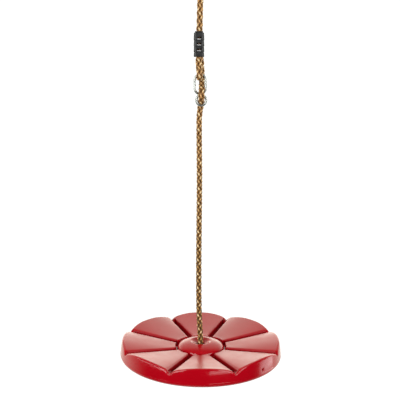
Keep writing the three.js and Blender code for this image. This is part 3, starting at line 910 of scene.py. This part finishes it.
def make_link():
    parts = []
    for loop, weld_x in ((OVAL, 1), (RINGLET, -1)):
        line = loop_line(y=LINK_PLANE, **loop)
        weld = [loop["x"] + weld_x * loop["half_width"], LINK_PLANE, loop["z"]]
        radius = LINK_WIRE * weld_swell(line, weld, 1.1, 0.09)
        parts.append(wire(line, radius, (0, 1, 0), closed=True))
    waist = (OVAL["z"] - OVAL["straight"] / 2 - OVAL["half_height"]
             + RINGLET["z"] + RINGLET["half_height"]) / 2
    for side in (-1, 1):
        parts.append(bead(side * 3.3, LINK_PLANE, waist, 2.1, 1.5, 1.7))
    fitting("figure_eight_link", joined(parts), "adjuster", "adjuster_link")


make_link()


# ---- clamp ----
CLAMP_MIDDLE = -3.0
CLAMP_HALF_WIDTH = 9.1
CLAMP_DEPTH = 13.0
CLAMP_HEIGHT = CLAMP_TOP - CLAMP_BOTTOM
CLAMP_CORNER = 4.0
CLAMP_SPLIT = 0.15  # each half stops this far short of the split
SPLIT_EDGE = 0.35  # rounding of the edges along the split
CLAMP_EDGE = 1.3  # rounding of the top and bottom edges
LEG_DEPTH = 5.4  # from the split to the middle of each leg of the eye
CHANNEL_RADIUS = 5.2
CLAMP_GROOVES = [8.2, 17.9, 27.5]  # up from the bottom
BAND_TAPER = 0.45  # each band draws in this much from its lower lip to its top
# height from a groove's middle, and how far the skin is drawn in there
GROOVE_SKIN = [(-1.6, BAND_TAPER), (-0.8, 0.55), (-0.45, 1.4), (0.05, 1.4), (0.2, 0.25),
               (0.5, 0), (1.3, 0)]
NECK_INSET = 2.2  # the short neck on top, round the rope
NECK_HEIGHT = 2.2
WINDOWS = [11.7, 21.3, 31.0]  # heights of the slots in the bands, up from the bottom


def clamp_outline(inset):
    """Half a clamp's outline, from one end of the split round the face to the other."""
    reach = CLAMP_HALF_WIDTH - inset
    face = CLAMP_DEPTH - inset
    corner = max(0.5, CLAMP_CORNER - inset)
    edge = SPLIT_EDGE
    outline = []
    for cx, cy, radius, start in ((reach - edge, CLAMP_SPLIT + edge, edge, -90),
                                  (reach - corner, face - corner, corner, 0),
                                  (corner - reach, face - corner, corner, 90),
                                  (edge - reach, CLAMP_SPLIT + edge, edge, 180)):
        for angle in np.radians(np.linspace(start, start + 90, 9)):
            outline.append((cx + radius * math.cos(angle), cy + radius * math.sin(angle)))
    return outline


def clamp_place(side):
    """Turns a half clamp's own millimetres, face towards +y, into the frame."""
    def place(points):
        return [at(CLAMP_MIDDLE + side * x, LINK_PLANE + side * y, CLAMP_BOTTOM + z)
                for x, y, z in points]
    return place


def clamp_levels():
    """Heights up the clamp and how far the skin is drawn in at each."""
    levels = [(CLAMP_EDGE * up, CLAMP_EDGE * inset) for up, inset in quarter(6)]
    for middle in CLAMP_GROOVES:
        levels += [(middle + up, inset) for up, inset in GROOVE_SKIN]
    levels += [(CLAMP_HEIGHT - CLAMP_EDGE * down, BAND_TAPER + CLAMP_EDGE * inset)
               for inset, down in quarter(6)]
    neck_top = CLAMP_HEIGHT + NECK_HEIGHT
    levels += [(CLAMP_HEIGHT, NECK_INSET - 0.15), (CLAMP_HEIGHT + 0.2, NECK_INSET),
               (neck_top - 0.3, NECK_INSET), (neck_top, NECK_INSET + 0.3)]
    return levels


def window_shape(up):
    """A slot through the clamp's face."""
    mouth = ((-3.3, -1.0), (3.3, -1.0), (3.3, 1.7), (-3.3, 1.7))
    return lofted([[[x, CLAMP_DEPTH + y, up + z] for x, z in mouth] for y in (-7, 2)])


def lip_shape(up):
    """The wedge that slopes the window's lower lip down to the face."""
    wedge = ((-1.5, -1.05), (0.6, -1.05), (0.6, -3.0))
    return lofted([[[x, CLAMP_DEPTH + y, up + z] for y, z in wedge] for x in (-3.6, 3.6)])


def rope_channel():
    """The round channel for one leg of the eye, open on to the split."""
    ends = (-3, CLAMP_HEIGHT + 3)
    line = [[0, LEG_DEPTH, z] for z in ends]
    mouth = ((-CHANNEL_RADIUS, -1), (CHANNEL_RADIUS, -1),
             (CHANNEL_RADIUS, LEG_DEPTH), (-CHANNEL_RADIUS, LEG_DEPTH))
    opening = lofted([[[x, y, z] for x, y in mouth] for z in ends])
    return wire(line, CHANNEL_RADIUS, (1, 0, 0), 32), opening


def make_clamp(name, side, node):
    rings = [[[x, y, z] for x, y in clamp_outline(inset)] for z, inset in clamp_levels()]
    place = clamp_place(side)
    piece = fitting(name, lofted(rings), "adjuster", node, BLACK, place)
    for shape in rope_channel():
        cut_away(piece, shape, place)
    for up in WINDOWS:
        cut_away(piece, window_shape(up), place)
        # the sloped lower lips take the painted highlight
        cut_away(piece, lip_shape(up), place, LIP_HIGHLIGHT)
    sharp_smooth(piece)


make_clamp("clamp_front_half", -1, "clamp_front")
make_clamp("clamp_back_half", 1, "clamp_back")


# ---- thimble and ring ----
THIMBLE_RADIUS = 15.4
THIMBLE_SHEET = 1.6
THIMBLE_LENGTH = 38.0
THIMBLE_BED = 5.35  # radius of the groove that the rope lies in
RING_RADIUS = 21.5
RING_WIRE = 3.5
RING_CENTRE = 683.7


def make_thimble():
    """A sheet bent to a groove along a teardrop, with its two tips side by side."""
    middle = THIMBLE_RADIUS + THIMBLE_SHEET / 2
    lean = math.asin(middle / THIMBLE_LENGTH)
    tip = [0, 1.7, CROWN_HEIGHT - THIMBLE_LENGTH + 3]
    line = [[0, -tip[1], tip[2]]]
    for angle in np.linspace(math.pi + lean, -lean, 33):
        line.append([0, middle * math.cos(angle), CROWN_HEIGHT + middle * math.sin(angle)])
    line.append(tip)
    line = resample(np.array(line), 1.1)
    along = tangents_of(line)
    side = np.array([1.0, 0, 0])
    out = np.cross(side, along)
    out *= np.sign(out[len(out) // 2][2])
    bed = TOP_BEND_RADIUS - middle
    half_turn = math.radians(74)
    section = []
    for radius, way in ((THIMBLE_BED + THIMBLE_SHEET, 1), (THIMBLE_BED, -1)):
        for angle in np.linspace(-way * half_turn, way * half_turn, 15):
            section.append((radius * math.sin(angle), bed - radius * math.cos(angle)))
    rings = [[line[i] + x * side + y * out[i] for x, y in section] for i in range(len(line))]
    piece = fitting("rope_thimble", lofted(rings), "rope_head", "thimble")
    sharp_smooth(piece, 50)


def make_ring():
    line = loop_line(RING_RADIUS, RING_RADIUS, 0.0, 0, RING_CENTRE, 0)
    radius = RING_WIRE * weld_swell(line, [RING_RADIUS, 0, RING_CENTRE], 1.6, 0.10)
    shape = wire(line, radius, (0, 1, 0), 24, closed=True)
    fitting("welded_ring", shape, "ring", "hanging_ring")


make_thimble()
make_ring()


# ---- snap hook ----
HOOK_WIRE = 4.0
HOOK_BOW = 13.0
HOOK_LOW_BOW = 710.4
HOOK_HIGH_BOW = 756.4
GATE_PIN_HEIGHT = 716.4
HOOK_SHOULDER = 711.4
HOOK_NOSE = 753.4
GATE_RADIUS = 3.8
PIN_RADIUS = 1.5
TONGUE_HALF = 1.55  # the wire's two ends are flattened to this half thickness
TONGUE_RADIUS = 3.1  # and this half height
NOSE_TONGUE = 4.9  # how far the nose's tongue reaches into the gate


def bow(middle, start, end):
    return [[0, HOOK_BOW * math.cos(angle), middle + HOOK_BOW * math.sin(angle)]
            for angle in np.linspace(start, end, 41)]


def hook_wire():
    """The bent wire from the gate's pin round both bows to the nose, flat at its two ends."""
    start = GATE_PIN_HEIGHT + TONGUE_RADIUS
    line = [[0, HOOK_BOW, start], [0, HOOK_BOW, HOOK_LOW_BOW + 0.2]]
    line += bow(HOOK_LOW_BOW, 0, -math.pi) + bow(HOOK_HIGH_BOW, math.pi, 0)
    line += [[0, HOOK_BOW, HOOK_NOSE - NOSE_TONGUE]]
    line = resample(np.array(line), 0.6)
    run = lengths_along(line)
    from_low = run - (start - HOOK_SHOULDER)
    from_high = run[-1] - run - NOSE_TONGUE
    full = smooth(-0.4, 0.8, from_low) * smooth(-0.4, 0.8, from_high)
    across = TONGUE_HALF + (HOOK_WIRE - TONGUE_HALF) * full
    other = TONGUE_RADIUS + (HOOK_WIRE - TONGUE_RADIUS) * full
    tip = rounded_ends(line, TONGUE_RADIUS)
    return swept(line, across * np.maximum(tip, 0.3), other * tip, (1, 0, 0), sides=24)


def pin_shape(radius, half_length, dome):
    """A pin along X with a low dome at each end."""
    rings = []
    half = [(half_length + dome * out, share)
            for out, share in ((1, 0.35), (0.85, 0.65), (0.5, 0.88), (0, 1))]
    for x, share in [(-x, share) for x, share in half] + half[::-1]:
        size = radius * share
        rings.append([[x, HOOK_BOW + size * math.cos(a), GATE_PIN_HEIGHT + size * math.sin(a)]
                      for a in angles_round(20)])
    return lofted(rings)


def slot_shape(low, high):
    """The slot in the gate that a tongue of the hook's wire goes into."""
    half = TONGUE_HALF + 0.35
    front = HOOK_BOW - 8
    back = HOOK_BOW + 8
    mouth = ((-half, front), (half, front), (half, back), (-half, back))
    return lofted([[[x, y, z] for x, y in mouth] for z in (low, high)])


def make_hook():
    body = fitting("hook_body", lofted(hook_wire()), "hook", "snap_hook_body")
    cut_away(body, pin_shape(PIN_RADIUS + 0.25, 6, 0.1))
    sharp_smooth(body, 45)
    bottom = GATE_PIN_HEIGHT - TONGUE_RADIUS
    top = HOOK_NOSE - 0.3
    line = resample(np.array([[0, HOOK_BOW, bottom], [0, HOOK_BOW, top]]), 0.4)
    radius = GATE_RADIUS * (0.80 + 0.20 * rounded_ends(line, 1.2))
    gate = fitting("hook_gate", wire(line, radius, (1, 0, 0), 28), "gate", "snap_hook_gate")
    cut_away(gate, slot_shape(bottom - 2, GATE_PIN_HEIGHT + 5))
    cut_away(gate, slot_shape(top - 5.6, top + 2))
    cut_away(gate, pin_shape(PIN_RADIUS + 0.2, 6, 0.1))
    sharp_smooth(gate, 40)
    fitting("hook_pin", pin_shape(PIN_RADIUS, GATE_RADIUS - 0.2, 0.5), "hook", "gate_pin")


make_hook()


# ---- washer under the knot ----
WASHER_TOP = -6.3
WASHER_THICKNESS = 2.5
WASHER_RADIUS = 20.0
WASHER_HOLE = 6.8


def make_washer():
    low = WASHER_TOP - WASHER_THICKNESS
    section = []
    for r, z, inward, first in ((WASHER_RADIUS, low, -1, 0), (WASHER_RADIUS, WASHER_TOP, -1, 1),
                                (WASHER_HOLE, WASHER_TOP, 1, 0), (WASHER_HOLE, low, 1, 1)):
        up = 1 if z == low else -1
        edge = [(r + inward * a, z + up * b) for a, b in ((0.45, 0), (0.13, 0.13), (0, 0.45))]
        section += edge[::-1] if first else edge
    shape = lofted([[[r * math.cos(a), r * math.sin(a), z] for r, z in section]
                    for a in angles_round(64)], closed=True)
    piece = fitting("knot_washer_disc", shape, "washer", "knot_washer", place=seat_to_frame)
    sharp_smooth(piece, 50)


make_washer()


# ---- light and floor ----
FLOOR_DROP = 420  # from the petals' plane to the floor
FLOOR_FADE_START = 250  # from below the seat's middle
FLOOR_FADE_END = 620
WORLD_SEEN = 1.1  # the white that the camera sees
WALL_COLOR = (0.92, 0.97, 0.85)
WALL_LIGHT = 2.95  # the wall behind, up to the height where it eases into the sky
SKY_BEHIND = 1.35
WALL_TOP = (0.12, 0.60)  # the Z of a direction between which the wall eases into the sky
WALL_SIDE = (0.05, 0.75)  # the Y of a direction between which the wall brightens to the back
WALL_FOOT = 1.25  # the same wall below the seat's level
FOOT_TOP = (-0.10, 0.0)
FOOT_SIDE = (-0.25, 0.45)
SKY_TOP = 0.25  # straight overhead
OVERHEAD = (0.45, 0.95)
FILL_LIGHT = 0.05  # from everywhere


def make_world():
    """A white sweep behind the object; its own light is a bright wall behind and a soft sky."""
    world = bpy.data.worlds.new("studio")
    world.use_nodes = True
    tree = world.node_tree
    seen = tree.nodes["Background"]
    seen.inputs["Color"].default_value = (1, 1, 1, 1)
    seen.inputs["Strength"].default_value = WORLD_SEEN
    direction = parts_of(tree, "Generated")
    back = direction["Y"]
    up = direction["Z"]
    wall = combine(tree, "MULTIPLY", ease_node(tree, back, *WALL_SIDE, 0.0, 1.0),
                   ease_node(tree, up, *WALL_TOP, WALL_LIGHT, SKY_BEHIND))
    wall = combine(tree, "MULTIPLY", wall, ease_node(tree, up, *FOOT_TOP, 0.0, 1.0))
    foot = combine(tree, "MULTIPLY", ease_node(tree, back, *FOOT_SIDE, 0.0, WALL_FOOT),
                   ease_node(tree, up, *FOOT_TOP, 1.0, 0.0))
    light = combine(tree, "ADD", combine(tree, "ADD", wall, foot),
                    ease_node(tree, up, *OVERHEAD, 0.0, SKY_TOP))
    light = combine(tree, "ADD", light, FILL_LIGHT)
    felt = add_node(tree, "ShaderNodeBackground")
    felt.inputs["Color"].default_value = (*WALL_COLOR, 1)
    tree.links.new(light, felt.inputs["Strength"])
    path = add_node(tree, "ShaderNodeLightPath")
    mix = add_node(tree, "ShaderNodeMixShader")
    tree.links.new(path.outputs["Is Camera Ray"], mix.inputs["Fac"])
    tree.links.new(felt.outputs["Background"], mix.inputs[1])
    tree.links.new(seen.outputs["Background"], mix.inputs[2])
    tree.links.new(mix.outputs["Shader"], tree.nodes["World Output"].inputs["Surface"])
    bpy.context.scene.world = world
    bpy.context.scene.view_settings.view_transform = "Standard"


def make_light(name, place, size, energy):
    """A soft light that faces the middle of the seat."""
    data = bpy.data.lights.new(name, "AREA")
    data.shape = "RECTANGLE"
    data.size, data.size_y = size
    data.energy = energy
    light = bpy.data.objects.new(name, data)
    light.location = at(*place)
    light.rotation_euler = (at(0, 0, 0) - light.location).to_track_quat("-Z", "Y").to_euler()
    light.visible_camera = False
    bpy.context.scene.collection.objects.link(light)


def make_floor():
    """A pale disc of floor under the swing that fades out into the white round it."""
    material, tree, shader = new_material("pale_floor", (0.92, 0.92, 0.92), 0.9)
    shader.inputs["Specular IOR Level"].default_value = 0.0
    place = add_node(tree, "ShaderNodeTexCoord")
    away = add_node(tree, "ShaderNodeVectorMath", operation="LENGTH")
    level = add_node(tree, "ShaderNodeVectorMath", operation="MULTIPLY")
    level.inputs[1].default_value = (1, 1, 0)
    tree.links.new(place.outputs["Object"], level.inputs[0])
    tree.links.new(level.outputs["Vector"], away.inputs[0])
    solid = ease_node(tree, away.outputs["Value"], FLOOR_FADE_START / 1000, FLOOR_FADE_END / 1000,
                      1.0, 0.0)
    tree.links.new(solid, shader.inputs["Alpha"])
    corners = ((-1, -1), (1, -1), (1, 1), (-1, 1))
    points = [at(x * FLOOR_FADE_END, y * FLOOR_FADE_END, -FLOOR_DROP) for x, y in corners]
    mesh_object("floor", points, [(0, 1, 2, 3)], material)


make_world()
make_floor()
make_light("key_left", (-1100, -1400, 700), (1.0, 1.0), 22)
make_light("key_right", (1200, -1300, 650), (1.0, 1.0), 18)
make_light("strip_left", (-1400, -500, 60), (1.6, 0.10), 3.0)
make_light("strip_right", (1477, 260, -280), (0.78, 0.36), 2.8)
make_light("strip_front", (690, -1550, 10), (0.76, 0.14), 1.6)
